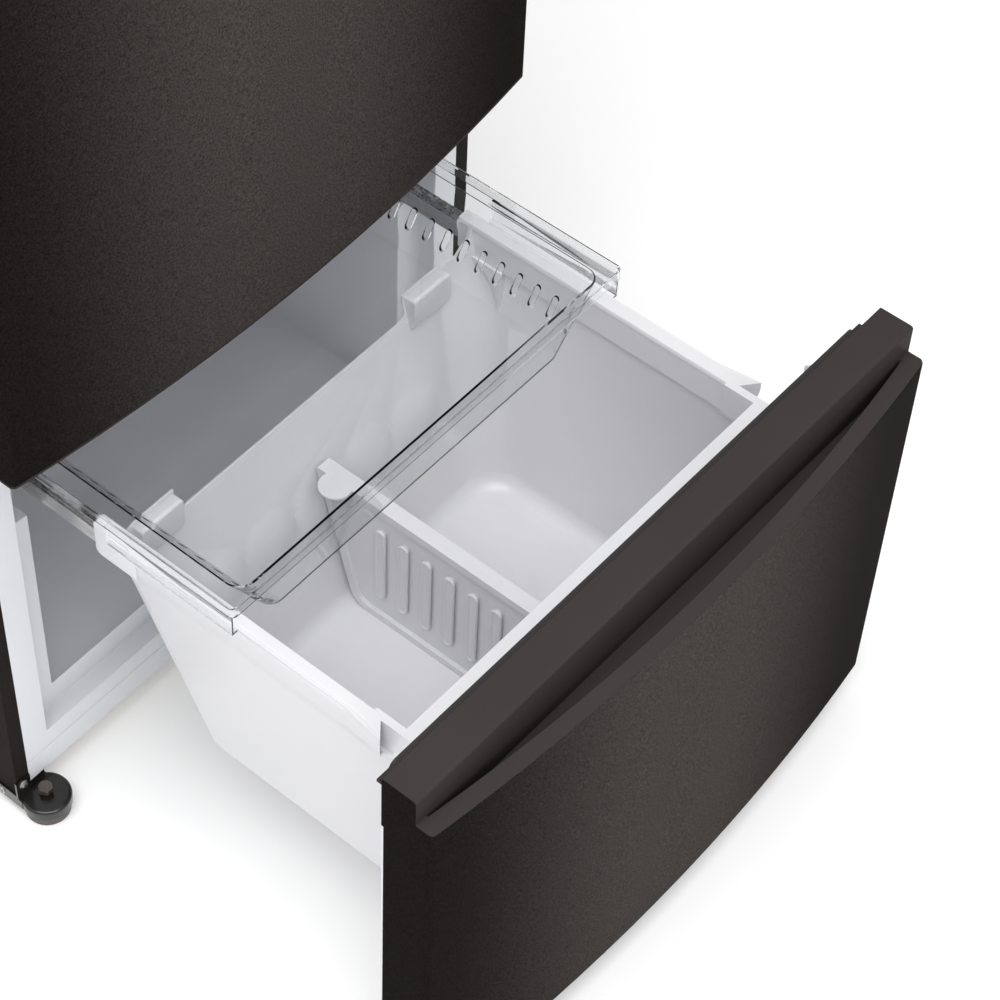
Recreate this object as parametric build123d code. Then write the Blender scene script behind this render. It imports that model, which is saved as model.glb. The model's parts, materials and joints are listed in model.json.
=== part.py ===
from build123d import *
import math
import os

# Bottom freezer refrigerator, freezer drawer pulled out.
# Millimetres. X right (facing the front), Y towards the back, Z up.
# Origin on the floor under the middle of the case.

os.makedirs("parts", exist_ok=True)

# ---------------------------------------------------------------- case
CASE_W = 832.0
CASE_D = 722.0
CASE_BOTTOM = 42.0
SIDE_BOTTOM = 30.0
CASE_TOP = 1743.0
SHEET = 1.2
LINER = 3.0
RETURN_W = 21.0
FRONT = -CASE_D / 2
BACK = CASE_D / 2
HALF = CASE_W / 2

# ---------------------------------------------------------------- cavities
HALF_IN = 356.0
HALF_LOW = 318.0
RECESS = 26.0
SILL_CREASE = 79.0
SILL_TOP = 109.0
FLOOR_EDGE = 144.0
FRZ_FLOOR = 126.0
FRZ_LEDGE = 469.0
FRZ_CEIL = 615.0
FRZ_BACK = 262.0
HUMP_FOOT_Y = 75.0
HUMP_FOOT_R = 70.0
HUMP_TOP_Y = 150.0
HUMP_TOP_Z = 395.0
BAR_BOTTOM = 640.0
BAR_TOP = 702.0
FR_FLOOR = 728.0
FR_CEIL = 1683.0
FR_BACK = 300.0
MACHINE_FRONT = 142.0
MACHINE_TOP = 325.0
DIMPLES = 6
DIMPLE_PITCH = 98.0
DIMPLE_R = 19.0
DIMPLE_DEEP = 2.0
DIMPLE_Y = FRONT + 155.0

# ---------------------------------------------------------------- drawer
TRAVEL = 574.5
GASKET_T = 15.0
CLEAR = 0.3
CAP_TOP = 654.0
CAP_FRONT = -420.2
REAR_PLANE = FRONT - GASKET_T
RIM_TOP = 615.5
RIM_W = 17.0
BOW_END = -442.0
BOW_MID = -471.5
DRAWER_BOTTOM = 52.0
CHEEK = SHEET
SKIN = 3.0
FRONT_CORNER_R = 8.0
CAP_FOOT = 572.0
LIP_Z0 = 645.0
LIP_Z1 = 649.0
LIP_END = 385.0

# ---------------------------------------------------------------- tub
TUB_TOP = 545.0
TUB_BOTTOM = 171.0
TUB_OUT = 316.0
TUB_OUT_LOW = 272.0
TUB_IN = 300.0
TUB_WALL = 3.0
TUB_REAR = 129.5
TUB_REAR_LOW = 41.5
TUB_FRONT = -331.5
TUB_BAND = 25.0
TUB_LOW_EDGE = 459.0
TUB_TAB_TOP = 492.0

# ---------------------------------------------------------------- tray
TRAY_TOP = 588.0
TRAY_OUT = 328.0
TRAY_FRONT = -666.0
TRAY_LEN = 400.0
TRAY_RIM = 15.0
TRAY_BOTTOM = 497.0

# ---------------------------------------------------------------- upper door
DOOR_BOTTOM = 688.0
DOOR_TOP = 1738.0
DOOR_CAP = 3.0
PIN_X = 392.0
PIN_Y = -409.0
PIN_R = 6.0
FIT = 0.05


def box(x0, x1, y0, y1, z0, z1):
    return Pos((x0 + x1) / 2, (y0 + y1) / 2, (z0 + z1) / 2) * Box(x1 - x0, y1 - y0, z1 - z0)


def along_x(points, x0, x1):
    face = make_face(Polyline(*[(x0, y, z) for y, z in points], close=True))
    return extrude(face, amount=x1 - x0, dir=(1, 0, 0))


def along_y(points, y0, y1):
    face = make_face(Polyline(*[(x, y0, z) for x, z in points], close=True))
    return extrude(face, amount=y1 - y0, dir=(0, 1, 0))


def along_z(points, z0, z1):
    face = make_face(Polyline(*[(x, y, z0) for x, y in points], close=True))
    return extrude(face, amount=z1 - z0, dir=(0, 0, 1))


def cyl(x, y, z0, z1, r):
    return Pos(x, y, (z0 + z1) / 2) * Cylinder(r, z1 - z0)


def cyl_x(x0, x1, y, z, r):
    return Pos((x0 + x1) / 2, y, z) * Rot(0, 90, 0) * Cylinder(r, x1 - x0)


def cyl_y(x, y0, y1, z, r):
    return Pos(x, (y0 + y1) / 2, z) * Rot(90, 0, 0) * Cylinder(r, y1 - y0)


def mirror_x(shape):
    return mirror(shape, about=Plane.YZ)


def save(shape, node):
    export_step(shape, "parts/" + node + ".step")


def opened(shape):
    return Pos(0, -TRAVEL, 0) * shape


# ------------------------------------------------------------------ case parts
def rounded_corner(before, corner, after, radius):
    """The two tangent points and the middle of the arc that rounds a corner, as (start, middle, end)."""
    ax, az = before[0] - corner[0], before[1] - corner[1]
    bx, bz = after[0] - corner[0], after[1] - corner[1]
    la, lb = math.hypot(ax, az), math.hypot(bx, bz)
    ax, az, bx, bz = ax / la, az / la, bx / lb, bz / lb
    half = math.acos(ax * bx + az * bz) / 2
    reach = radius / math.tan(half)
    mx, mz = ax + bx, az + bz
    lm = math.hypot(mx, mz)
    to_arc = radius / math.sin(half) - radius
    start = (corner[0] + ax * reach, corner[1] + az * reach)
    middle = (corner[0] + mx / lm * to_arc, corner[1] + mz / lm * to_arc)
    end = (corner[0] + bx * reach, corner[1] + bz * reach)
    return start, middle, end


def freezer_void(grow):
    floor_z = FRZ_FLOOR - grow
    foot = (HUMP_FOOT_Y + grow, floor_z)
    top = (HUMP_TOP_Y + grow, HUMP_TOP_Z - grow)
    start, middle, end = rounded_corner((FRONT, floor_z), foot, top, HUMP_FOOT_R + grow)
    x0 = -HALF_LOW - grow

    def at(point):
        return (x0, point[0], point[1])

    outline = [
        Polyline(at(end), at(top), at((FRZ_BACK + grow, HUMP_TOP_Z - grow)), at((FRZ_BACK + grow, FRZ_LEDGE + 20)),
                 at((FRONT + RECESS - 2, FRZ_LEDGE + 20)), at((FRONT + RECESS - 2, FLOOR_EDGE - grow)),
                 at((FRONT + RECESS, FLOOR_EDGE - grow)), at((FRONT + RECESS + 30, floor_z)), at(start)),
        ThreePointArc(at(start), at(middle), at(end)),
    ]
    low = extrude(make_face(outline), amount=2 * (HALF_LOW + grow), dir=(1, 0, 0))
    ledge = 6.0
    half = HALF_IN + grow
    high = along_y(
        [(-half, FRZ_LEDGE + ledge), (-HALF_LOW - grow, FRZ_LEDGE - grow), (HALF_LOW + grow, FRZ_LEDGE - grow),
         (half, FRZ_LEDGE + ledge), (half, FRZ_CEIL + grow), (-half, FRZ_CEIL + grow)],
        FRONT + RECESS - 2, FRZ_BACK + grow)
    mouth = along_x(
        [(FRONT - 2, SILL_TOP - grow), (FRONT, SILL_TOP - grow), (FRONT + RECESS + grow, SILL_TOP - 5 - grow),
         (FRONT + RECESS + grow, FRZ_CEIL + grow), (FRONT - 2, FRZ_CEIL + grow)],
        -HALF_IN - grow, HALF_IN + grow)
    return low + high + mouth


def fridge_void(grow):
    body = box(-HALF_IN - grow, HALF_IN + grow, FRONT - 2, FR_BACK + grow, FR_FLOOR - grow, FR_CEIL + grow)
    rear = body.edges().filter_by(Axis.Z).group_by(Axis.Y)[-1]
    return fillet(rear, 18 + grow)


def machine_void():
    top = MACHINE_TOP
    return along_x([(MACHINE_FRONT, 0), (MACHINE_FRONT, top - 60), (MACHINE_FRONT + 45, top),
                    (BACK + 5, top), (BACK + 5, 0)], -HALF - 1, HALF + 1)


def case_wrapper():
    corners = [(-HALF, SIDE_BOTTOM), (-HALF, CASE_TOP), (HALF, CASE_TOP), (HALF, SIDE_BOTTOM)]
    outer = along_y(corners, FRONT, BACK)
    outer = fillet(outer.edges().filter_by(Axis.Y).group_by(Axis.Z)[-1], 6)
    inner = box(-HALF + SHEET, HALF - SHEET, FRONT + SHEET, BACK + 1, SIDE_BOTTOM - 1, CASE_TOP - SHEET)
    opening = HALF - RETURN_W
    window = box(-opening, opening, FRONT - 1, FRONT + 5, SIDE_BOTTOM - 1, CASE_TOP - RETURN_W)
    return outer - inner - window


def mouth_flange(z0, z1):
    w = HALF - RETURN_W
    return box(-w, w, FRONT, FRONT + LINER, z0, z1)


def freezer_liner():
    skin = freezer_void(LINER)
    skin = skin & box(-HALF, HALF, FRONT, BACK, 0, CASE_TOP)
    skin = skin + mouth_flange(SILL_CREASE, BAR_BOTTOM)
    skin = skin - freezer_void(0)
    ball_r = (DIMPLE_R ** 2 + DIMPLE_DEEP ** 2) / (2 * DIMPLE_DEEP)
    for i in range(DIMPLES):
        x = (i - (DIMPLES - 1) / 2) * DIMPLE_PITCH
        ball = Pos(x, DIMPLE_Y, FRZ_FLOOR + ball_r - DIMPLE_DEEP) * Sphere(ball_r)
        skin = skin - (ball & cyl(x, DIMPLE_Y, FRZ_FLOOR - 5, FRZ_FLOOR + 1, DIMPLE_R + 6))
    return skin


def fridge_liner():
    skin = fridge_void(LINER) & box(-HALF, HALF, FRONT, BACK, 0, CASE_TOP)
    skin = skin + mouth_flange(BAR_TOP, CASE_TOP - RETURN_W)
    skin = skin - fridge_void(0)
    for z in SHELF_Z:
        for side in (-1, 1):
            x0, x1 = sorted((side * (HALF_IN - 8), side * (HALF_IN + 1)))
            rib = box(x0, x1, SHELF_FRONT + 15, SHELF_BACK, z - 12, z)
            skin = skin + fillet(rib.edges().filter_by(Axis.Y).group_by(Axis.Z)[0], 3)
    return skin


def foam():
    half = HALF - SHEET
    block = box(-half, half, FRONT + LINER, BACK - SHEET, CASE_BOTTOM, CASE_TOP - SHEET)
    lip = box(-half, half, FRONT + LINER - 1, FRONT + LINER + 12, BAR_BOTTOM, BAR_TOP)
    sill = box(-half, half, FRONT, FRONT + 22, CASE_BOTTOM - 1, SILL_CREASE)
    front_gap = box(-half, half, FRONT, FRONT + LINER + 0.001, 0, CASE_TOP)
    block = block - freezer_void(LINER) - fridge_void(LINER) - machine_void() - lip - sill - front_gap
    return block


def front_bar():
    w = HALF - RETURN_W
    outer = box(-w, w, FRONT, FRONT + LINER + 12, BAR_BOTTOM, BAR_TOP)
    inner = box(-w - 1, w + 1, FRONT + 2, FRONT + 20, BAR_BOTTOM + 2, BAR_TOP - 2)
    return outer - inner


def base_rail():
    w = HALF - RETURN_W
    rail = along_x([(FRONT, CASE_BOTTOM), (FRONT, SILL_CREASE), (FRONT + 22, SILL_CREASE),
                    (FRONT + 22, SILL_CREASE - 2), (FRONT + 2, SILL_CREASE - 2), (FRONT + 2, CASE_BOTTOM + 2),
                    (FRONT + 22, CASE_BOTTOM + 2), (FRONT + 22, CASE_BOTTOM)], -w, w)
    return rail


def back_panel():
    w = HALF - SHEET
    panel = box(-w, w, BACK - SHEET, BACK, MACHINE_TOP, CASE_TOP - SHEET)
    return panel


# ------------------------------------------------------------------ machine compartment
def base_pan():
    w = HALF - SHEET
    floor = box(-w, w, MACHINE_FRONT + 2, BACK - SHEET - 1, CASE_BOTTOM, CASE_BOTTOM + 2)
    front_lip = box(-w, w, MACHINE_FRONT, MACHINE_FRONT + 2, CASE_BOTTOM, CASE_BOTTOM + 22)
    pan = floor + front_lip
    for side in (-1, 1):
        for dx in (ROLLER_W / 2 + 1.0, -ROLLER_W / 2 - 1.0 - 2.5):
            x0 = side * ROLLER_X + dx
            ear = along_x([(ROLLER_Y - 30, CASE_BOTTOM + 1), (ROLLER_Y - 14, 12), (ROLLER_Y + 14, 12),
                           (ROLLER_Y + 30, CASE_BOTTOM + 1)], x0, x0 + 2.5)
            pan = pan + ear
        slot = box(side * ROLLER_X - ROLLER_W / 2 - 1, side * ROLLER_X + ROLLER_W / 2 + 1,
                   ROLLER_Y - 24, ROLLER_Y + 24, CASE_BOTTOM - 1, CASE_BOTTOM + 3)
        pan = pan - slot
        half_len = ROLLER_W / 2 + 4
        pan = pan + cyl_x(side * ROLLER_X - half_len, side * ROLLER_X + half_len, ROLLER_Y, ROLLER_R, AXLE_R)
    return pan


ROLLER_R = 21.0
ROLLER_W = 22.0
ROLLER_X = 350.0
ROLLER_Y = 305.0
AXLE_R = 4.0


def roller(side):
    x = side * ROLLER_X
    wheel = cyl_x(x - ROLLER_W / 2, x + ROLLER_W / 2, ROLLER_Y, ROLLER_R, ROLLER_R)
    wheel = fillet(wheel.edges().filter_by(GeomType.CIRCLE), 2)
    for s in (-1, 1):
        x0, x1 = sorted((x + s * (ROLLER_W / 2 - 5), x + s * (ROLLER_W / 2 + 1)))
        wheel = wheel - (cyl_x(x0, x1, ROLLER_Y, ROLLER_R, 15) - cyl_x(x0, x1, ROLLER_Y, ROLLER_R, 8))
    return wheel - cyl_x(x - 20, x + 20, ROLLER_Y, ROLLER_R, AXLE_R + FIT)


COMP_X = -215.0
COMP_Y = 250.0


def compressor():
    z0 = CASE_BOTTOM + 20
    profile = [(0, z0), (70, z0), (76, z0 + 8), (78, z0 + 70), (80, z0 + 74), (80, z0 + 80), (77, z0 + 84),
               (72, z0 + 120), (52, z0 + 142), (20, z0 + 150), (0, z0 + 151)]
    face = make_face(Polyline(*[(COMP_X + r, COMP_Y, z) for r, z in profile], close=True))
    shell = revolve(face, Axis((COMP_X, COMP_Y, 0), (0, 0, 1)), 360)
    plate = box(COMP_X - 100, COMP_X + 100, COMP_Y - 62, COMP_Y + 62, z0 - 4, z0)
    plate = fillet(plate.edges().filter_by(Axis.Z), 18)
    terminal = box(COMP_X + 70, COMP_X + 100, COMP_Y - 28, COMP_Y + 28, z0 + 30, z0 + 78)
    return shell + plate + terminal


def compressor_mounts():
    shape = None
    for sx in (-1, 1):
        for sy in (-1, 1):
            g = cyl(COMP_X + sx * 84, COMP_Y + sy * 46, CASE_BOTTOM + 2, CASE_BOTTOM + 16, 11)
            shape = g if shape is None else shape + g
    return shape


FAN_X = 0.0
FAN_Y = 250.0
FAN_Z = 165.0
FAN_R = 68.0


def fan_blades(r_hub, r_tip, depth, count):
    hub = Cylinder(r_hub, depth)
    fan = hub
    for i in range(count):
        blade = Pos((r_hub + r_tip) / 2 - 1, 0, 0) * Rot(28, 0, 0) * Box(r_tip - r_hub, r_tip * 0.62, 1.8)
        blade = blade & Cylinder(r_tip, depth)
        fan = fan + Rot(0, 0, i * 360 / count) * blade
    return fan


def condenser_fan():
    fan = Rot(0, 90, 0) * fan_blades(17, FAN_R - 4, 22, 5)
    shaft_hole = Rot(0, 90, 0) * Cylinder(3 + FIT, 14)
    return Pos(FAN_X, FAN_Y, FAN_Z) * (fan - Pos(-7, 0, 0) * shaft_hole)


def condenser_fan_mount():
    x0 = FAN_X - 24
    plate = box(x0, x0 + 2, FAN_Y - 90, FAN_Y + 90, CASE_BOTTOM + 2, FAN_Z + 92)
    plate = fillet(plate.edges().filter_by(Axis.X).group_by(Axis.Z)[-1], 14)
    plate = plate - cyl_x(x0 - 1, x0 + 3, FAN_Y, FAN_Z, FAN_R)
    ring = cyl_x(x0, x0 + 40, FAN_Y, FAN_Z, FAN_R + 2) - cyl_x(x0 - 1, x0 + 41, FAN_Y, FAN_Z, FAN_R)
    motor = cyl_x(x0 - 26, x0 + 8, FAN_Y, FAN_Z, 24)
    arm_y = box(x0 - 3, x0, FAN_Y - FAN_R - 6, FAN_Y + FAN_R + 6, FAN_Z - 6, FAN_Z + 6)
    arm_z = box(x0 - 3, x0, FAN_Y - 6, FAN_Y + 6, FAN_Z - FAN_R - 6, FAN_Z + FAN_R + 6)
    shaft = cyl_x(x0 + 8, FAN_X - 1, FAN_Y, FAN_Z, 3)
    return plate + ring + motor + arm_y + arm_z + shaft


def condenser():
    x0, x1 = 70.0, 320.0
    z0 = CASE_BOTTOM + 12
    shape = None
    for i in range(18):
        x = x0 + 12 + i * (x1 - x0 - 24) / 17
        fin = box(x - 0.6, x + 0.6, FAN_Y - 60, FAN_Y + 60, z0, z0 + 170)
        shape = fin if shape is None else shape + fin
    for row in range(3):
        for level in range(5):
            y = FAN_Y - 40 + row * 40
            z = z0 + 18 + level * 33
            shape = shape + cyl_x(x0, x1, y, z, 4.5)
    for row in range(3):
        y = FAN_Y - 40 + row * 40
        for level in range(4):
            z = z0 + 18 + level * 33
            x = x1 if level % 2 == 0 else x0
            turn = 1 if level % 2 == 0 else -1
            bend = Pos(x, y, z + 16.5) * Rot(90, 0, 0) * Torus(16.5, 4.5)
            keep = box(min(x, x + turn * 25), max(x, x + turn * 25), y - 6, y + 6, z - 8, z + 41)
            shape = shape + (bend & keep)
    feet = box(x0 + 6, x0 + 10, FAN_Y - 62, FAN_Y + 62, CASE_BOTTOM + 2, z0 + 176)
    feet2 = box(x1 - 10, x1 - 6, FAN_Y - 62, FAN_Y + 62, CASE_BOTTOM + 2, z0 + 176)
    return shape + feet + feet2


def drip_pan():
    z0 = CASE_BOTTOM + 12 + 176
    outer = box(76, 314, FAN_Y - 70, FAN_Y + 70, z0, z0 + 34)
    outer = fillet(outer.edges().filter_by(Axis.Z), 10)
    inner = box(78.5, 311.5, FAN_Y - 67.5, FAN_Y + 67.5, z0 + 2.5, z0 + 40)
    inner = fillet(inner.edges().filter_by(Axis.Z), 8)
    return outer - inner


def machine_cover():
    w = HALF - SHEET
    cover = box(-w, w, BACK - SHEET, BACK, CASE_BOTTOM + 4, MACHINE_TOP)
    slots = None
    for col in range(22):
        x = -336 + col * 32
        for row in range(3):
            z = 90 + row * 72
            s = box(x - 3.5, x + 3.5, BACK - 4, BACK + 4, z, z + 52)
            slots = s if slots is None else slots + s
    return cover - slots


# ------------------------------------------------------------------ feet
LEG_X = 388.5
LEG_Y = -381.4
EAR_R = 32.0
EAR_TOP = 30.0
EAR_BOTTOM = 15.0
EAR_WALL = 2.5
EAR_FOLD = 4.0
ARM_IN = 21.0
ARM_LEN = 34.0
FLANGE = 3.0
FLANGE_TOP = 62.0
FOOT_GAP = 0.7
FOOT_H = 13.0
STUD_R = 5.0
HEAD_R = 9.8
HEAD_Z = 36.0
HEAD_H = 8.0


def bracket_pan(inset, z0, z1):
    nose = cyl(LEG_X, LEG_Y, z0, z1, EAR_R - inset)
    arm = along_z([(LEG_X - ARM_IN + inset, LEG_Y + 2), (HALF + FLANGE - inset, LEG_Y + 12),
                   (HALF + FLANGE - inset, FRONT + ARM_LEN - inset), (LEG_X - ARM_IN + inset, FRONT + ARM_LEN - inset)],
                  z0, z1)
    return nose, arm


def leg_bracket(side):
    nose, arm = bracket_pan(0, EAR_BOTTOM, EAR_TOP)
    nose = fillet(nose.edges().group_by(Axis.Z)[-1], EAR_FOLD)
    pan = nose + arm
    for hollow in bracket_pan(EAR_WALL, EAR_BOTTOM - 1, EAR_TOP - EAR_WALL):
        pan = pan - hollow
    side_flange = box(HALF, HALF + FLANGE, FRONT - FLANGE, FRONT + ARM_LEN, EAR_BOTTOM, EAR_TOP + 4)
    front_flange = box(HALF - RETURN_W + 1, HALF + FLANGE, FRONT - FLANGE, FRONT, EAR_TOP - EAR_WALL, FLANGE_TOP)
    spacer = box(LEG_X - ARM_IN, HALF - SHEET, FRONT + 4, FRONT + ARM_LEN, EAR_TOP - EAR_WALL, CASE_BOTTOM)
    shape = pan + side_flange + front_flange + spacer
    shape = shape - cyl(LEG_X, LEG_Y, 0, EAR_TOP + 20, STUD_R + FIT)
    return shape if side > 0 else mirror_x(shape)


def leg(side):
    disc = cyl(LEG_X, LEG_Y, 0, FOOT_H, EAR_R - EAR_WALL - FOOT_GAP)
    disc = fillet(disc.edges().group_by(Axis.Z)[-1], 2)
    stud = cyl(LEG_X, LEG_Y, FOOT_H - 2, HEAD_Z + 1, STUD_R)
    head = Pos(LEG_X, LEG_Y, 0) * extrude(Pos(0, 0, HEAD_Z) * RegularPolygon(HEAD_R, 6), amount=HEAD_H)
    head = head & (Pos(LEG_X, LEG_Y, HEAD_Z) * Cone(HEAD_R * 1.3, HEAD_R * 0.88, HEAD_H * 2))
    shape = disc + stud + head
    return shape if side > 0 else mirror_x(shape)


# ------------------------------------------------------------------ freezer interior
def evaporator_cover():
    y0, y1 = HUMP_TOP_Y, HUMP_TOP_Y + 5
    panel = box(-HALF_IN + 0.2, HALF_IN - 0.2, y0, y1, FRZ_LEDGE + 7, FRZ_CEIL - 0.2)
    low = box(-HALF_LOW + 0.2, HALF_LOW - 0.2, y0, y1, HUMP_TOP_Z + 0.2, FRZ_LEDGE + 8)
    panel = panel + low
    for col in range(9):
        x = -160 + col * 40
        panel = panel - box(x - 13, x + 13, y0 - 1, y1 + 1, 586, 594)
        panel = panel - box(x - 13, x + 13, y0 - 1, y1 + 1, 412, 420)
    return panel


def evaporator():
    shape = None
    for i in range(24):
        x = -253 + i * 22
        fin = box(x - 0.5, x + 0.5, 178, 248, 403, 484)
        shape = fin if shape is None else shape + fin
    for row in range(2):
        for level in range(3):
            y = 196 + row * 34
            z = 418 + level * 26
            shape = shape + cyl_x(-272, 272, y, z, 4)
    for side in (-1, 1):
        shape = shape + box(side * 266 - 1, side * 266 + 1, 176, 250, HUMP_TOP_Z, 490)
    return shape


EV_Y = 205.0
EV_Z = 545.0
EV_R = 48.0


def evaporator_fan():
    fan = Rot(90, 0, 0) * fan_blades(13, EV_R, 18, 5)
    hole = Rot(90, 0, 0) * Cylinder(2.5 + FIT, 12)
    return Pos(0, EV_Y, EV_Z) * (fan - Pos(0, 6, 0) * hole)


def evaporator_fan_mount():
    plate = box(-70, 70, EV_Y - 14, EV_Y - 12, 494, FRZ_CEIL - 0.2)
    plate = plate - cyl_y(0, EV_Y - 20, EV_Y, EV_Z, EV_R + 2)
    for sx in (-1, 1):
        arm = box(sx * 60 - 4, sx * 60 + 4, EV_Y - 12, EV_Y + 30, EV_Z - 4, EV_Z + 4)
        plate = plate + arm
    bar = box(-64, 64, EV_Y + 24, EV_Y + 30, EV_Z - 4, EV_Z + 4)
    motor = cyl_y(0, EV_Y + 14, EV_Y + 40, EV_Z, 20)
    shaft = cyl_y(0, EV_Y + 1, EV_Y + 15, EV_Z, 2.5)
    return plate + bar + motor + shaft


# rail geometry shared by its members
CHANNEL_X0, CHANNEL_X1 = 304.0, 312.6
CHANNEL_Z0, CHANNEL_Z1 = 502.0, 543.0
CHANNEL_FRONT = -272.0
RAIL_T = 1.2
RAIL_GAP = 0.6
BAR_X0, BAR_X1 = 305.5, 312.0
BAR_Z0, BAR_Z1 = CHANNEL_Z0 + RAIL_T + RAIL_GAP, CHANNEL_Z1 - RAIL_T - RAIL_GAP
BAR_FOLD = 527.0
BAR_FRONT = -268.0
BRIDGE_Y0, BRIDGE_Y1 = 132.0, 146.0
BRIDGE_Z0, BRIDGE_Z1 = 508.0, 537.0
CARR_X0, CARR_X1 = 328.0, 352.0
CARR_Z0, CARR_Z1 = 503.0, 541.0
CARR_FRONT = -40.0
CARR_LEN = 170.0
TRACK_X = 338.0
TRACK_Z0, TRACK_Z1 = 498.0, 546.0
TRACK_FRONT = -332.0


def rail_track(side):
    rear = HUMP_TOP_Y - 2
    web = box(HALF_IN - 1.8, HALF_IN, TRACK_FRONT, rear, TRACK_Z0, TRACK_Z1)
    low = box(TRACK_X, HALF_IN - 1, TRACK_FRONT, rear, TRACK_Z0, TRACK_Z0 + 2)
    top = box(TRACK_X, HALF_IN - 1, TRACK_FRONT, rear, TRACK_Z1 - 2, TRACK_Z1)
    lip_low = box(TRACK_X, TRACK_X + 1.8, TRACK_FRONT, rear, TRACK_Z0, TRACK_Z0 + 8)
    lip_top = box(TRACK_X, TRACK_X + 1.8, TRACK_FRONT, rear, TRACK_Z1 - 8, TRACK_Z1)
    shape = web + low + top + lip_low + lip_top
    return shape if side > 0 else mirror_x(shape)


def rail_middle(side):
    low = box(BAR_X0, BAR_X1, BAR_FRONT, BRIDGE_Y1, BAR_Z0, BAR_FOLD)
    strip = box(BAR_X0, BAR_X0 + 3, BAR_FRONT, BRIDGE_Y1, BAR_FOLD - 1, BAR_Z1)
    top = box(BAR_X0, BAR_X1, BAR_FRONT, BRIDGE_Y1, BAR_Z1 - 2, BAR_Z1)
    bridge = box(BAR_X0, CARR_X1 - 8, BRIDGE_Y0, BRIDGE_Y1, BRIDGE_Z0, BRIDGE_Z1)
    arm = box(CARR_X0, CARR_X0 + 3, CARR_FRONT, BRIDGE_Y1, BRIDGE_Z0, BRIDGE_Z1)
    web = box(CARR_X0, 346, CARR_FRONT, CARR_FRONT + CARR_LEN, BRIDGE_Z0 + 8, BRIDGE_Z1 - 8)
    shoe = box(341, CARR_X1, CARR_FRONT, CARR_FRONT + CARR_LEN, CARR_Z0, CARR_Z1)
    shoe = fillet(shoe.edges().filter_by(Axis.X), 4)
    shape = low + strip + top + bridge + arm + web + shoe
    shape = Pos(0, -TRAVEL / 2, 0) * shape
    return shape if side > 0 else mirror_x(shape)


def rail_inner(side):
    y0, y1 = CHANNEL_FRONT, TUB_REAR - 1.5
    web = box(CHANNEL_X0, CHANNEL_X0 + RAIL_T, y0, y1, CHANNEL_Z0, CHANNEL_Z1)
    top = box(CHANNEL_X0, CHANNEL_X1, y0, y1, CHANNEL_Z1 - RAIL_T, CHANNEL_Z1)
    low = box(CHANNEL_X0, CHANNEL_X1, y0, y1, CHANNEL_Z0, CHANNEL_Z0 + RAIL_T)
    shape = opened(web + top + low)
    return shape if side > 0 else mirror_x(shape)


# ------------------------------------------------------------------ freezer drawer
def bow_face(inset, half, rear, z):
    y_end = BOW_END + inset
    y_mid = BOW_MID + inset
    sag = y_end - y_mid
    r = (HALF * HALF + sag * sag) / (2 * sag)
    y_half = y_mid + r - math.sqrt(r * r - half * half)
    arc = ThreePointArc((half, y_half, z), (0, y_mid, z), (-half, y_half, z))
    edges = [arc, Line((-half, y_half, z), (-half, rear, z)), Line((-half, rear, z), (half, rear, z)),
             Line((half, rear, z), (half, y_half, z))]
    return make_face(edges)


def bow_block(inset, half, rear, z0, z1):
    return extrude(bow_face(inset, half, rear, z0), amount=z1 - z0, dir=(0, 0, 1))


def front_edges(shape):
    return shape.edges().filter_by(Axis.Z).group_by(Axis.Y)[0]


def drawer_panel():
    liner_y = REAR_PLANE - LINER
    body = bow_block(0, HALF, liner_y, DRAWER_BOTTOM, RIM_TOP - 2)
    body = fillet(front_edges(body), FRONT_CORNER_R)
    pocket = bow_block(SKIN, HALF - CHEEK, liner_y + 1, CAP_FOOT, RIM_TOP)
    pocket = fillet(front_edges(pocket), FRONT_CORNER_R - CHEEK)
    body = body - pocket
    for side in (-1, 1):
        x0 = min(side * HALF, side * (HALF - CHEEK))
        cheek = box(x0, x0 + CHEEK, CAP_FRONT, REAR_PLANE, CAP_FOOT - 12, CAP_TOP)
        cheek = cheek - box(x0 - 1, x0 + CHEEK + 1, liner_y, REAR_PLANE + 1, CAP_FOOT - 13, CAP_FOOT)
        cheek = fillet(cheek.edges().filter_by(Axis.X).group_by(Axis.Z)[-1].sort_by(Axis.Y)[0:1], 4)
        body = body + cheek
    return opened(body)


def drawer_cap():
    half = HALF - CHEEK - FIT
    low = bow_block(SKIN + FIT, half, REAR_PLANE, CAP_FOOT, RIM_TOP - 2)
    low = fillet(front_edges(low), FRONT_CORNER_R - CHEEK - FIT)
    rim = bow_block(0.6, half, REAR_PLANE, RIM_TOP - 2, RIM_TOP)
    rim = fillet(front_edges(rim), FRONT_CORNER_R - CHEEK - FIT)
    top = box(-half, half, CAP_FRONT, REAR_PLANE, RIM_TOP - 1, CAP_TOP)
    front_edge = top.edges().filter_by(Axis.X).group_by(Axis.Z)[-1].sort_by(Axis.Y)[0:1]
    top = fillet(front_edge, 4)
    cap = low + rim + top
    groove_top = groove_face(RIM_TOP + 0.5, 0)
    groove_low = groove_face(RIM_TOP - GROOVE_DEEP, GROOVE_LEAN)
    cap = cap - loft([groove_low, groove_top])
    lip = box(-HALF, LIP_END, REAR_PLANE, REAR_PLANE + 6, LIP_Z0, LIP_Z1)
    cap = cap + lip
    return opened(cap)


GROOVE_DEEP = 34.0
GROOVE_LEAN = 9.0
GROOVE_HALF = 399.0


def groove_face(z, shrink):
    half = GROOVE_HALF - shrink
    y_back = CAP_FRONT
    y_mid = BOW_MID + RIM_W + 1 + shrink
    y_end = y_back - 2.5
    arc = ThreePointArc((half, y_end, z), (0, y_mid, z), (-half, y_end, z))
    return make_face([arc, Line((-half, y_end, z), (-half, y_back, z)),
                      Line((-half, y_back, z), (half, y_back, z)), Line((half, y_back, z), (half, y_end, z))])


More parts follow.
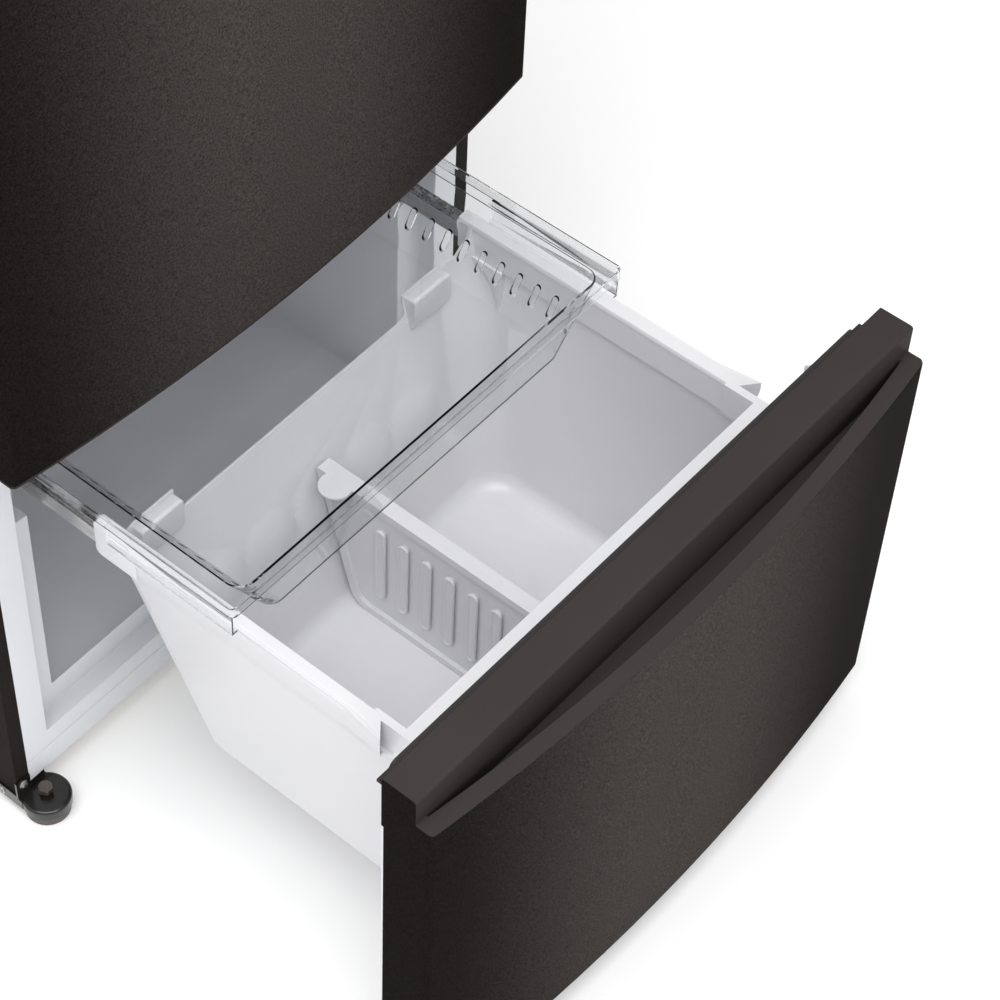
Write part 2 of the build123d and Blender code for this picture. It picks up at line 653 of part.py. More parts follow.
def drawer_liner():
    plate = box(-HALF, HALF, REAR_PLANE - LINER, REAR_PLANE, DRAWER_BOTTOM, 572)
    base = Pos(0, REAR_PLANE, 359) * Plane.XZ.location * RectangleRounded(690, 482, 26)
    tip = Pos(0, REAR_PLANE + 36, 359) * Plane.XZ.location * RectangleRounded(664, 456, 18)
    dyke = loft([base, tip])
    return opened(plate + dyke)


def ring(half, z0, z1, width, y0, y1):
    outer = box(-half, half, y0, y1, z0, z1)
    outer = fillet(outer.edges().filter_by(Axis.Y), 10)
    inner = box(-half + width, half - width, y0 - 1, y1 + 1, z0 + width, z1 - width)
    return outer - inner


def gasket(half, z0, z1):
    pad = ring(half, z0, z1, 24, REAR_PLANE, REAR_PLANE + 4)
    neck = ring(half - 6, z0 + 6, z1 - 6, 12, REAR_PLANE + 4, REAR_PLANE + 8)
    face = ring(half, z0, z1, 22, REAR_PLANE + 8, REAR_PLANE + GASKET_T - CLEAR)
    return pad + neck + face


BRACKET_X0, BRACKET_X1 = 346.2, 349.0
BRACKET_REAR = TRACK_FRONT - 2.0
LEDGE_FRONT = -240.0
LEDGE_REAR = 100.0


def side_bracket(side):
    profile = [(REAR_PLANE, 478), (REAR_PLANE, 602), (REAR_PLANE + 18, 602), (BRACKET_REAR, 585), (BRACKET_REAR, 500),
               (BRACKET_REAR - 14, 478)]
    plate = along_x(profile, BRACKET_X0, BRACKET_X1)
    arm = box(STRIP_OUT - 4, BRACKET_X1, BRACKET_REAR - 3, BRACKET_REAR, 505, 538)
    pad = box(STRIP_OUT - 4, STRIP_OUT, BRACKET_REAR - 3, TUB_FRONT, 505, 538)
    top = TRAY_TOP - TRAY_RIM - CLEAR
    web = box(324.0, 326.0, LEDGE_FRONT, LEDGE_REAR, TUB_TOP - 4, top)
    ledge = box(317, 326, LEDGE_FRONT, LEDGE_REAR, top - 3, top)
    sole = box(RIM_BEAD, 326, LEDGE_FRONT, LEDGE_REAR, TUB_TOP - 4, TUB_TOP - 1)
    shape = opened(plate + arm + pad + web + ledge + sole)
    return shape if side > 0 else mirror_x(shape)


# ------------------------------------------------------------------ tub
def tub_plan(half, rear, front, r_rear, r_front, z):
    d = 1 - math.sqrt(0.5)
    pts = [
        Line((-half, front + r_front, z), (-half, rear - r_rear, z)),
        ThreePointArc((-half, rear - r_rear, z), (-half + r_rear * d, rear - r_rear * d, z), (-half + r_rear, rear, z)),
        Line((-half + r_rear, rear, z), (half - r_rear, rear, z)),
        ThreePointArc((half - r_rear, rear, z), (half - r_rear * d, rear - r_rear * d, z), (half, rear - r_rear, z)),
        Line((half, rear - r_rear, z), (half, front + r_front, z)),
        ThreePointArc((half, front + r_front, z), (half - r_front * d, front + r_front * d, z), (half - r_front, front, z)),
        Line((half - r_front, front, z), (-half + r_front, front, z)),
        ThreePointArc((-half + r_front, front, z), (-half + r_front * d, front + r_front * d, z),
                      (-half, front + r_front, z)),
    ]
    return make_face(pts)


TUB_KNEE_Z = 480.0


def tub_half_at(z):
    return TUB_OUT_LOW + (TUB_OUT - TUB_OUT_LOW) * (z - TUB_BOTTOM) / (TUB_TOP - TUB_BOTTOM)


def tub_loft(inset, z0):
    rear_low = TUB_REAR_LOW + (TUB_REAR - TUB_REAR_LOW) * (z0 - TUB_BOTTOM) / (TUB_KNEE_Z - TUB_BOTTOM)
    front_low = TUB_FRONT + 14
    low = tub_plan(tub_half_at(z0) - inset, rear_low - inset, front_low + inset, 55 - inset, 30 - inset, z0)
    knee = tub_plan(tub_half_at(TUB_KNEE_Z) - inset, TUB_REAR - inset, TUB_FRONT + 4 + inset,
                    55 - inset, 30 - inset, TUB_KNEE_Z)
    top = tub_plan(TUB_OUT - inset, TUB_REAR - inset, TUB_FRONT + 2 + inset, 55 - inset, 30 - inset, TUB_TOP)
    lower = loft([low, knee], ruled=True)
    upper = loft([knee, top], ruled=True)
    return lower, upper


RIM_BEAD = TUB_OUT + 2.0
STRIP_IN = 296.0
STRIP_OUT = 306.0
BEAM_Z0 = 497.0
BULGE_X = 326.0
BULGE_Y0 = -250.0
BULGE_Y1 = -295.6
BULGE_Z0 = 502.0
LOW_CUT_HALF = 196.0
TAB_IN = 198.0
TAB_OUT = 264.0
SCALLOP_R = 140.0
SCALLOP_H = 7.0
SCALLOPS = 5
SCALLOP_PITCH = 86.0


def scallops():
    rise = TUB_KNEE_Z - TUB_BOTTOM
    run = TUB_REAR - TUB_REAR_LOW
    slope = math.hypot(rise, run)
    share = 0.52
    back = SCALLOP_R - SCALLOP_H
    y = TUB_REAR_LOW + run * share - TUB_WALL + back * rise / slope
    z = TUB_BOTTOM + rise * share - back * run / slope
    return [Pos((i - (SCALLOPS - 1) / 2) * SCALLOP_PITCH, y, z) * Sphere(SCALLOP_R) for i in range(SCALLOPS)]


def bulge():
    def plan(z, out):
        return make_face([
            Spline((TUB_OUT - 6, BULGE_Y0 + 60, z), (TUB_OUT + out * 0.35, BULGE_Y0, z), (TUB_OUT + out, BULGE_Y1, z)),
            Line((TUB_OUT + out, BULGE_Y1, z), (TUB_OUT - 6, BULGE_Y1 + 12.5, z)),
            Line((TUB_OUT - 6, BULGE_Y1 + 12.5, z), (TUB_OUT - 6, BULGE_Y0 + 60, z))])
    return loft([plan(BULGE_Z0, 1.0), plan(TUB_TOP, BULGE_X - TUB_OUT)], ruled=True)


def tub_side():
    beam = box(TUB_IN, tub_half_at(BEAM_Z0) - 1, TUB_FRONT + 20, TUB_REAR, BEAM_Z0, TUB_TOP)
    end = box(TUB_IN, TUB_OUT, TUB_REAR - 62, TUB_REAR, 494, TUB_TOP)
    end = fillet(end.edges().filter_by(Axis.X).group_by(Axis.Z)[0].sort_by(Axis.Y)[-1:], 8)
    strip = box(STRIP_IN, STRIP_OUT, TUB_FRONT, BULGE_Y1 + 30, BEAM_Z0, TUB_TOP)
    bead = box(TUB_OUT - 3, RIM_BEAD, BULGE_Y0 + 5, TUB_REAR - 55, TUB_TOP - 4, TUB_TOP)
    return beam + end + strip + bead + bulge()


def tub_side_cut():
    notch = along_z([(STRIP_OUT, TUB_FRONT - 5), (340, TUB_FRONT - 5), (340, BULGE_Y1 - 11), (BULGE_X, BULGE_Y1),
                     (STRIP_OUT, BULGE_Y1 + 16)], BEAM_Z0 + 3, TUB_TOP + 5)
    channel = box(CHANNEL_X0, CHANNEL_X1, CHANNEL_FRONT, TUB_REAR + 5, CHANNEL_Z0, CHANNEL_Z1)
    return notch + channel


def tub_tab():
    tab = box(TAB_IN, TAB_OUT, TUB_REAR - 20, TUB_REAR - 1, 430, TUB_TAB_TOP)
    tab = chamfer(tab.edges().filter_by(Axis.X).group_by(Axis.Z)[0].sort_by(Axis.Y)[0:1], 18)
    return fillet(tab.edges().group_by(Axis.Z)[-1], 5)


def tub():
    low_out, high_out = tub_loft(0, TUB_BOTTOM)
    low_out = fillet(low_out.faces().sort_by(Axis.Z)[0].edges(), 30)
    low_in, high_in = tub_loft(TUB_WALL, TUB_BOTTOM + TUB_WALL)
    low_in = fillet(low_in.faces().sort_by(Axis.Z)[0].edges(), 27)
    for ball in scallops():
        low_in = low_in - ball
    body = (low_out + high_out) - low_in - high_in
    side = tub_side()
    body = body + side + mirror_x(side)
    band = box(-STRIP_IN - 1, STRIP_IN + 1, TUB_FRONT, TUB_FRONT + TUB_BAND, TUB_TOP - 6, TUB_TOP)
    body = body + band
    # lowered rear edge with a raised tab at each corner
    low_cut = box(-LOW_CUT_HALF, LOW_CUT_HALF, TUB_REAR - 60, TUB_REAR + 5, TUB_LOW_EDGE, TUB_TOP + 5)
    low_cut = fillet(low_cut.edges().filter_by(Axis.Y).group_by(Axis.Z)[0], 8)
    right = [(270, TUB_TAB_TOP), (284, TUB_TAB_TOP + 5), (296, TUB_TOP - 22), (302, TUB_TOP + 5)]
    left = [(-x, z) for x, z in reversed(right)]
    tab_cut = along_y(right + left, TUB_REAR - 50, TUB_REAR + 5)
    body = body - low_cut - tab_cut
    tab = tub_tab()
    body = body + tab + mirror_x(tab)
    cut = tub_side_cut()
    body = body - cut - mirror_x(cut)
    return opened(body)


# ------------------------------------------------------------------ divider
DIV_W = 20.0
DIV_WEB = 4.0
DIV_RECESS = 6.0
DIV_RIB = 11.0
DIV_TOP = 386.0
DIV_FRONT = -860.0
DIV_GAP = 9.0
DIV_FOOT_R = 30.0
DIV_SLOTS = 6
DIV_SLOT_PITCH = 35.5
DIV_SLOT_W = 12.0
DIV_SLOT_H = 4.5


def divider_rear(z):
    rise = (z - TUB_BOTTOM) / (TUB_KNEE_Z - TUB_BOTTOM)
    wall = TUB_REAR_LOW + (TUB_REAR - TUB_REAR_LOW) * rise
    return wall - TUB_WALL - DIV_GAP - TRAVEL


def divider_plate(inset, x0, x1):
    floor_z = TUB_BOTTOM + TUB_WALL + CLEAR + inset
    top_z = DIV_TOP - inset
    plate = along_x([(DIV_FRONT + inset, floor_z), (DIV_FRONT + inset, top_z), (divider_rear(top_z) - inset, top_z),
                     (divider_rear(floor_z) - inset, floor_z)], x0, x1)
    plate = fillet(plate.edges().filter_by(Axis.X).group_by(Axis.Z)[0], DIV_FOOT_R - inset)
    return fillet(plate.edges().filter_by(Axis.X).group_by(Axis.Z)[-1], 4)


def divider():
    body = divider_plate(0, 0, DIV_W)
    body = body - divider_plate(DIV_RIB, -1, DIV_RECESS) - divider_plate(DIV_RIB, DIV_RECESS + DIV_WEB, DIV_W + 1)
    for i in range(DIV_SLOTS):
        y = -583.6 - i * DIV_SLOT_PITCH
        slot = box(DIV_RECESS - DIV_SLOT_H, DIV_RECESS + 1, y - DIV_SLOT_W / 2, y + DIV_SLOT_W / 2, 217, 343)
        slot = fillet(slot.edges().filter_by(Axis.X), DIV_SLOT_W / 2 - 0.1)
        slot = fillet(slot.faces().sort_by(Axis.X)[0].edges(), 2)
        body = body + slot
    pad = cyl(-6, -521, DIV_TOP - 3, DIV_TOP, 21)
    return body + pad


# ------------------------------------------------------------------ clear tray
TRAY_SLOTS = 14
TRAY_SLOT_PITCH = 27.0
TRAY_SLOT_X = 272.0
TRAY_SLOT_Z = 532.5
TRAY_SLOT_W = 9.0
TRAY_SLOT_H = 24.0


def tray_plan(half, front, back, r, z):
    return Pos(0, (front + back) / 2, z) * RectangleRounded(2 * half, back - front, r)


def clear_tray():
    wall = 2.5
    back = TRAY_FRONT + TRAY_LEN
    skirt_z = TRAY_TOP - 15
    low = tray_plan(250, TRAY_FRONT + 20, back - 20, 18, TRAY_BOTTOM)
    top = tray_plan(303 + wall, TRAY_FRONT + 12 - wall, back - 12 + wall, 22, TRAY_TOP)
    outer = loft([low, top], ruled=True)
    low_i = tray_plan(250 - wall, TRAY_FRONT + 20 + wall, back - 20 - wall, 16, TRAY_BOTTOM + wall)
    top_i = tray_plan(303, TRAY_FRONT + 12, back - 12, 20, TRAY_TOP + 0.5)
    inner = loft([low_i, top_i], ruled=True)
    rim = Pos(0, 0, skirt_z) * extrude(tray_plan(TRAY_OUT, TRAY_FRONT, back, 8, 0), amount=15)
    hollow = Pos(0, 0, skirt_z - 1) * extrude(tray_plan(TRAY_OUT - wall, TRAY_FRONT + wall, back - wall, 6, 0),
                                              amount=15 + 1 - wall)
    rim = rim - hollow
    tray = (outer + rim) - inner
    for i in range(TRAY_SLOTS):
        y = TRAY_FRONT + 26 + i * TRAY_SLOT_PITCH
        for side in (-1, 1):
            x = side * TRAY_SLOT_X
            tray = tray - Pos(x, y, TRAY_SLOT_Z) * Plane.YZ.location * extrude(
                SlotOverall(TRAY_SLOT_H, TRAY_SLOT_W, rotation=90), amount=20, both=True)
    return tray


# ------------------------------------------------------------------ upper door
def upper_door():
    liner_y = REAR_PLANE - LINER
    body = bow_block(0, HALF, liner_y, DOOR_BOTTOM + DOOR_CAP, DOOR_TOP - DOOR_CAP)
    body = fillet(body.edges().filter_by(Axis.Z).group_by(Axis.Y)[0], 8)
    for z0, z1 in ((DOOR_BOTTOM, DOOR_BOTTOM + 26), (DOOR_TOP - 26, DOOR_TOP)):
        body = body - cyl(PIN_X, PIN_Y, z0, z1, PIN_R + FIT)
    grip = box(-HALF - 1, -HALF + 16, -432, -398, 900, 1500)
    grip = fillet(grip.edges().filter_by(Axis.Z), 5)
    return body - grip


def door_cap_piece(z0):
    cap = bow_block(0, HALF, REAR_PLANE, z0, z0 + DOOR_CAP)
    cap = fillet(cap.edges().filter_by(Axis.Z).group_by(Axis.Y)[0], 8)
    return cap - cyl(PIN_X, PIN_Y, z0 - 1, z0 + DOOR_CAP + 1, PIN_R + FIT)


def door_liner():
    z0, z1 = DOOR_BOTTOM + DOOR_CAP, DOOR_TOP - DOOR_CAP
    plate = box(-HALF, HALF, REAR_PLANE - LINER, REAR_PLANE, z0, z1)
    d0, d1 = FR_FLOOR + 12, FR_CEIL - 12
    mid = (d0 + d1) / 2
    base = Pos(0, REAR_PLANE, mid) * Plane.XZ.location * RectangleRounded(690, d1 - d0, 20)
    tip = Pos(0, REAR_PLANE + 46, mid) * Plane.XZ.location * RectangleRounded(672, d1 - d0 - 18, 14)
    dyke = loft([base, tip])
    well = box(-318, 318, REAR_PLANE + 6, REAR_PLANE + 60, d0 + 28, d1 - 28)
    well = fillet(well.edges().filter_by(Axis.Y), 14)
    return plate + (dyke - well)


BIN_W = 634.0
BIN_Y0 = REAR_PLANE + 8
BIN_D = 104.0


def door_bin(z0, height):
    half = BIN_W / 2
    outer = along_x([(BIN_Y0, z0), (BIN_Y0, z0 + height), (BIN_Y0 + BIN_D, z0 + height),
                     (BIN_Y0 + BIN_D - 12, z0)], -half, half)
    inner = along_x([(BIN_Y0 + 2.5, z0 + 2.5), (BIN_Y0 + 2.5, z0 + height + 1), (BIN_Y0 + BIN_D - 2.5, z0 + height + 1),
                     (BIN_Y0 + BIN_D - 14.5, z0 + 2.5)], -half + 2.5, half - 2.5)
    return outer - inner


DAIRY_Z0 = 1420.0
DAIRY_H = 110.0
LID_PIN_Y = BIN_Y0 + 14
LID_T = 3.0


def dairy_lid():
    half = BIN_W / 2 - 4
    z = DAIRY_Z0 + DAIRY_H
    barrel = cyl_x(-half, half, LID_PIN_Y, z + 6, 4)
    top = box(-half, half, LID_PIN_Y, BIN_Y0 + BIN_D + 1, z + 4, z + 4 + LID_T)
    front = box(-half, half, BIN_Y0 + BIN_D + 1, BIN_Y0 + BIN_D + 4, z - 60, z + 4 + LID_T)
    return barrel + top + front


# ------------------------------------------------------------------ hinges
def top_hinge():
    plate = along_z([(PIN_X - 62, FRONT + 90), (PIN_X - 62, FRONT + 20), (PIN_X - 24, PIN_Y - 16),
                     (PIN_X + 18, PIN_Y - 16), (PIN_X + 18, FRONT + 90)], CASE_TOP, CASE_TOP + 4)
    plate = fillet(plate.edges().filter_by(Axis.Z), 8)
    return plate + cyl(PIN_X, PIN_Y, DOOR_TOP - 24, CASE_TOP + 2, PIN_R)


def top_hinge_cover():
    outer = box(PIN_X - 66, PIN_X + 22, PIN_Y - 20, FRONT + 96, CASE_TOP + 4, CASE_TOP + 26)
    outer = fillet(outer.edges().filter_by(Axis.Z), 10)
    outer = fillet(outer.edges().group_by(Axis.Z)[-1], 5)
    return outer


def middle_hinge():
    z0, z1 = 668.0, 674.0
    plate = along_z([(PIN_X - 40, FRONT), (PIN_X - 24, PIN_Y - 6), (PIN_X - 10, PIN_Y - 16), (PIN_X + 12, PIN_Y - 16),
                     (PIN_X + 20, PIN_Y - 6), (PIN_X + 20, FRONT)], z0, z1)
    flange = box(PIN_X - 62, PIN_X + 3, FRONT - 3, FRONT, BAR_BOTTOM + 4, BAR_TOP - 4)
    pin = cyl(PIN_X, PIN_Y, z1 - 1, DOOR_BOTTOM + 24, PIN_R)
    collar = cyl(PIN_X, PIN_Y, z1 - 1, DOOR_BOTTOM - 1, PIN_R + 5)
    return plate + flange + pin + collar


# ------------------------------------------------------------------ fridge interior
SHELF_Z = (1150.0, 1400.0)
SHELF_FRONT = -215.0
SHELF_BACK = 270.0
COVER_Z = 922.0
CRISP_FRONT = -200.0
CRISP_BACK = 250.0
CRISP_Z0 = FR_FLOOR + 2.0
CRISP_H = 172.0


def shelf_frame(z):
    half = HALF_IN - 1
    front = box(-half, half, SHELF_FRONT, SHELF_FRONT + 24, z, z + 16)
    front = fillet(front.edges().filter_by(Axis.X).group_by(Axis.Y)[0], 5)
    rear = box(-half, half, SHELF_BACK - 18, SHELF_BACK, z, z + 16)
    return front + rear - shelf_glass(z)


def shelf_glass(z):
    half = HALF_IN - 1
    return box(-half, half, SHELF_FRONT + 14, SHELF_BACK - 8, z + 9, z + 13)


def crisper_frame():
    z = COVER_Z
    half = HALF_IN
    plate = box(-half, half, SHELF_FRONT + 10, SHELF_BACK, z + 6, z + 12)
    mid = box(-6, 6, SHELF_FRONT + 10, SHELF_BACK, FR_FLOOR, z + 6)
    nose = box(-half, half, SHELF_FRONT, SHELF_FRONT + 12, z - 10, z + 16)
    nose = fillet(nose.edges().filter_by(Axis.X).group_by(Axis.Y)[0], 5)
    return plate + mid + nose


def crisper(side):
    x0, x1 = 10.0, 344.0
    outer = along_x([(CRISP_FRONT, CRISP_Z0 + 8), (CRISP_FRONT, CRISP_Z0 + CRISP_H), (CRISP_BACK, CRISP_Z0 + CRISP_H),
                     (CRISP_BACK - 20, CRISP_Z0), (CRISP_FRONT + 10, CRISP_Z0)], x0, x1)
    inner = along_x([(CRISP_FRONT + 5, CRISP_Z0 + 10), (CRISP_FRONT + 5, CRISP_Z0 + CRISP_H + 1),
                     (CRISP_BACK - 3, CRISP_Z0 + CRISP_H + 1), (CRISP_BACK - 23, CRISP_Z0 + 3),
                     (CRISP_FRONT + 12, CRISP_Z0 + 3)], x0 + 3, x1 - 3)
    grip = box(x0 + 60, x1 - 60, CRISP_FRONT - 1, CRISP_FRONT + 12, CRISP_Z0 + CRISP_H - 14, CRISP_Z0 + CRISP_H + 2)
    shape = outer - inner
    lip = box(x0 + 40, x1 - 40, CRISP_FRONT - 12, CRISP_FRONT, CRISP_Z0 + CRISP_H - 22, CRISP_Z0 + CRISP_H - 18)
    shape = shape + lip
    return shape if side > 0 else mirror_x(shape)


def air_duct():
    duct = box(-120, 120, FR_BACK - 14, FR_BACK, 960, 1660)
    duct = fillet(duct.edges().filter_by(Axis.Z).group_by(Axis.Y)[0], 6)
    for z in (1040, 1220, 1300, 1480, 1580):
        for side in (-1, 1):
            duct = duct - box(side * 60 - 22, side * 60 + 22, FR_BACK - 15, FR_BACK - 8, z, z + 10)
    return duct


def lamp():
    lens = box(-110, 110, -140, -60, FR_CEIL - 12, FR_CEIL)
    return fillet(lens.edges().group_by(Axis.Z)[0], 5)


def control_panel():
    panel = along_x([(-330, FR_CEIL), (-330, FR_CEIL - 16), (-318, FR_CEIL - 26), (-230, FR_CEIL - 12),
                     (-222, FR_CEIL)], -170, 170)
    return panel


def build():
    save(case_wrapper(), "case_wrapper")
    save(foam(), "insulation_foam")
    save(freezer_liner(), "freezer_liner")
    save(fridge_liner(), "fridge_liner")
    save(front_bar(), "front_bar")
    save(base_rail(), "base_rail")
    save(back_panel(), "back_panel")
    save(base_pan(), "base_pan")
    save(compressor(), "compressor")
    save(compressor_mounts(), "compressor_mounts")
    save(condenser(), "condenser")
    save(condenser_fan_mount(), "condenser_fan_mount")
    save(condenser_fan(), "condenser_fan")
    save(drip_pan(), "drip_pan")
    save(machine_cover(), "machine_cover")
    save(evaporator_cover(), "evaporator_cover")
    save(evaporator(), "evaporator")
    save(evaporator_fan_mount(), "evaporator_fan_mount")
    save(evaporator_fan(), "evaporator_fan")
    save(drawer_panel(), "drawer_panel")
    save(drawer_cap(), "drawer_cap")
    save(drawer_liner(), "drawer_liner")
    save(opened(gasket(388, 84, 636)), "drawer_gasket")
    save(tub(), "freezer_tub")
    save(divider(), "tub_divider")
    save(clear_tray(), "clear_tray")
    save(upper_door(), "upper_door")
    save(door_cap_piece(DOOR_BOTTOM) + door_cap_piece(DOOR_TOP - DOOR_CAP), "door_end_caps")
    save(door_liner(), "door_liner")
    save(gasket(388, 704, 1720), "door_gasket")
    save(door_bin(780, 85), "door_bin_lower")
    save(door_bin(1150, 90), "door_bin_middle")
    save(door_bin(DAIRY_Z0, DAIRY_H), "dairy_box")
    save(dairy_lid(), "dairy_lid")
    save(top_hinge(), "top_hinge")
    save(top_hinge_cover(), "top_hinge_cover")
    save(middle_hinge(), "middle_hinge")
    save(shelf_frame(SHELF_Z[0]), "shelf_frame_lower")
    save(shelf_glass(SHELF_Z[0]), "shelf_glass_lower")
    save(shelf_frame(SHELF_Z[1]), "shelf_frame_upper")
    save(shelf_glass(SHELF_Z[1]), "shelf_glass_upper")
    save(crisper_frame(), "crisper_frame")
    save(air_duct(), "air_duct")
    save(lamp(), "lamp_cover")
    save(control_panel(), "control_panel")
    save(leg_bracket(-1) + leg_bracket(1), "leg_brackets")
    save(rail_track(-1) + rail_track(1), "rail_tracks")
    save(rail_inner(-1) + rail_inner(1), "drawer_rails")
    for side, name in ((-1, "left"), (1, "right")):
        save(roller(side), "rear_roller_" + name)
        save(leg(side), "levelling_leg_" + name)
        save(rail_middle(side), "rail_middle_" + name)
        save(side_bracket(side), "side_bracket_" + name)
        save(crisper(side), "crisper_" + name)


build()
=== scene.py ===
import bpy
import bmesh
import json
import math
from mathutils import Matrix, Vector


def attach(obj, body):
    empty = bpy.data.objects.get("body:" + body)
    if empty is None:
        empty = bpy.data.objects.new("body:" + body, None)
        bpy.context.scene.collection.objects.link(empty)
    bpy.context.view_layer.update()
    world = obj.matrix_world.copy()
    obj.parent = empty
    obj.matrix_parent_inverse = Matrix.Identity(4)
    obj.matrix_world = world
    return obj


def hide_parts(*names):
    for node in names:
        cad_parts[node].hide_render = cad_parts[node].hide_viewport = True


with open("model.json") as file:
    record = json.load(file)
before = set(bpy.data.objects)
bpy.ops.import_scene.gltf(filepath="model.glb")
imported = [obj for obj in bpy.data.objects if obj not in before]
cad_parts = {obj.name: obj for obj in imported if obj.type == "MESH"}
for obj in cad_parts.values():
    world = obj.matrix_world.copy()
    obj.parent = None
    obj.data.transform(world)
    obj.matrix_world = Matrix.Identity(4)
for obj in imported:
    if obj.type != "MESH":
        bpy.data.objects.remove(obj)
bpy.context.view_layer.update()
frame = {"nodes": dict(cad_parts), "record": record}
nodes = frame["nodes"]

# ------------------------------------------------------------------ camera
# the photographer's camera, fitted to a square picture of PICTURE pixels a side
AZ = math.radians(-46.34)
EL = math.radians(53.32)
ROLL = math.radians(-1.81)
CAMERA_AT = Vector((-1.6320, -2.0076, 3.0687))
PICTURE = 1000
FOCAL_PX = 2964.7
CENTRE_PX = (299.8, 627.0)
SENSOR = 36.0
back = Vector((math.sin(AZ) * math.cos(EL), -math.cos(AZ) * math.cos(EL), math.sin(EL)))
right = Vector((math.cos(AZ), math.sin(AZ), 0))
up = back.cross(right)
right2 = right * math.cos(ROLL) + up * math.sin(ROLL)
up2 = up * math.cos(ROLL) - right * math.sin(ROLL)
cam_data = bpy.data.cameras.new("studio_camera")
cam = bpy.data.objects.new("studio_camera", cam_data)
bpy.context.scene.collection.objects.link(cam)
rot = Matrix((right2, up2, back)).transposed()
cam.matrix_world = Matrix.Translation(CAMERA_AT) @ rot.to_4x4()
cam_data.sensor_width = SENSOR
cam_data.lens = FOCAL_PX / PICTURE * SENSOR
cam_data.shift_x = (PICTURE / 2 - CENTRE_PX[0]) / PICTURE
cam_data.shift_y = (CENTRE_PX[1] - PICTURE / 2) / PICTURE
cam_data.clip_start = 0.05
cam_data.clip_end = 60
bpy.context.scene.camera = cam


# ------------------------------------------------------------------ node helpers
def group(name, inputs, outputs):
    g = bpy.data.node_groups.new(name, "ShaderNodeTree")
    for n, kind, value in inputs:
        s = g.interface.new_socket(name=n, in_out="INPUT", socket_type=kind)
        s.default_value = value
    for n, kind in outputs:
        g.interface.new_socket(name=n, in_out="OUTPUT", socket_type=kind)
    gin = g.nodes.new("NodeGroupInput")
    gout = g.nodes.new("NodeGroupOutput")
    return g, gin, gout


def link(tree, a, b):
    tree.links.new(a, b)


def math_node(tree, op, a, b=None):
    n = tree.nodes.new("ShaderNodeMath")
    n.operation = op
    for i, v in enumerate((a, b)):
        if v is None:
            continue
        if isinstance(v, (int, float)):
            n.inputs[i].default_value = v
        else:
            link(tree, v, n.inputs[i])
    return n.outputs[0]


def noise(tree, vec, scale, detail, rough):
    n = tree.nodes.new("ShaderNodeTexNoise")
    n.inputs["Scale"].default_value = scale
    n.inputs["Detail"].default_value = detail
    n.inputs["Roughness"].default_value = rough
    link(tree, vec, n.inputs["Vector"])
    return n.outputs["Fac"]


def obj_coords(tree):
    return tree.nodes.new("ShaderNodeTexCoord").outputs["Object"]


def bump(tree, height, strength, distance):
    n = tree.nodes.new("ShaderNodeBump")
    n.inputs["Strength"].default_value = strength
    n.inputs["Distance"].default_value = distance
    link(tree, height, n.inputs["Height"])
    return n.outputs["Normal"]


def map_range(tree, v, a, b, c, d, eased=False):
    """v from a..b to c..d, held at the ends."""
    n = tree.nodes.new("ShaderNodeMapRange")
    if eased:
        n.interpolation_type = "SMOOTHSTEP"
    link(tree, v, n.inputs[0])
    for i, x in enumerate((a, b, c, d)):
        n.inputs[i + 1].default_value = x
    return n.outputs[0]


def mix_colour(tree, fac, a, b):
    n = tree.nodes.new("ShaderNodeMix")
    n.data_type = "RGBA"
    link(tree, fac, n.inputs[0])
    for i, c in ((6, a), (7, b)):
        if isinstance(c, tuple):
            n.inputs[i].default_value = c + (1.0,)
        else:
            link(tree, c, n.inputs[i])
    return n.outputs[2]


# fine grain and large mottling, shared by the moulded and painted materials
def surface_group():
    g, gin, gout = group(
        "moulded_surface",
        [("Grain Scale", "NodeSocketFloat", 900.0), ("Mottle Scale", "NodeSocketFloat", 6.0)],
        [("Grain", "NodeSocketFloat"), ("Mottle", "NodeSocketFloat")])
    co = obj_coords(g)
    fine = g.nodes.new("ShaderNodeTexNoise")
    fine.inputs["Detail"].default_value = 3.0
    fine.inputs["Roughness"].default_value = 0.6
    link(g, co, fine.inputs["Vector"])
    link(g, gin.outputs["Grain Scale"], fine.inputs["Scale"])
    big = g.nodes.new("ShaderNodeTexNoise")
    big.inputs["Detail"].default_value = 5.0
    link(g, co, big.inputs["Vector"])
    link(g, gin.outputs["Mottle Scale"], big.inputs["Scale"])
    link(g, fine.outputs["Fac"], gout.inputs["Grain"])
    link(g, big.outputs["Fac"], gout.inputs["Mottle"])
    return g


SURFACE = surface_group()


def new_material(name):
    m = bpy.data.materials.new(name)
    m.use_nodes = True
    t = m.node_tree
    return m, t, t.nodes["Principled BSDF"]


def plastic(name, base, vary, rough, grain=900.0, grain_strength=0.08, spec=0.5, coat=0.0):
    """Moulded plastic or smooth paint that mottles between two near colours, with a fine grain."""
    m, t, p = new_material(name)
    s = t.nodes.new("ShaderNodeGroup")
    s.node_tree = SURFACE
    s.inputs["Grain Scale"].default_value = grain
    colour = mix_colour(t, map_range(t, s.outputs["Mottle"], 0.35, 0.65, 0.0, 1.0), base, vary)
    link(t, colour, p.inputs["Base Color"])
    link(t, map_range(t, s.outputs["Mottle"], 0.3, 0.7, rough - 0.06, rough + 0.06), p.inputs["Roughness"])
    link(t, bump(t, s.outputs["Grain"], grain_strength, 0.0006), p.inputs["Normal"])
    p.inputs["Specular IOR Level"].default_value = spec
    p.inputs["Coat Weight"].default_value = coat
    return m


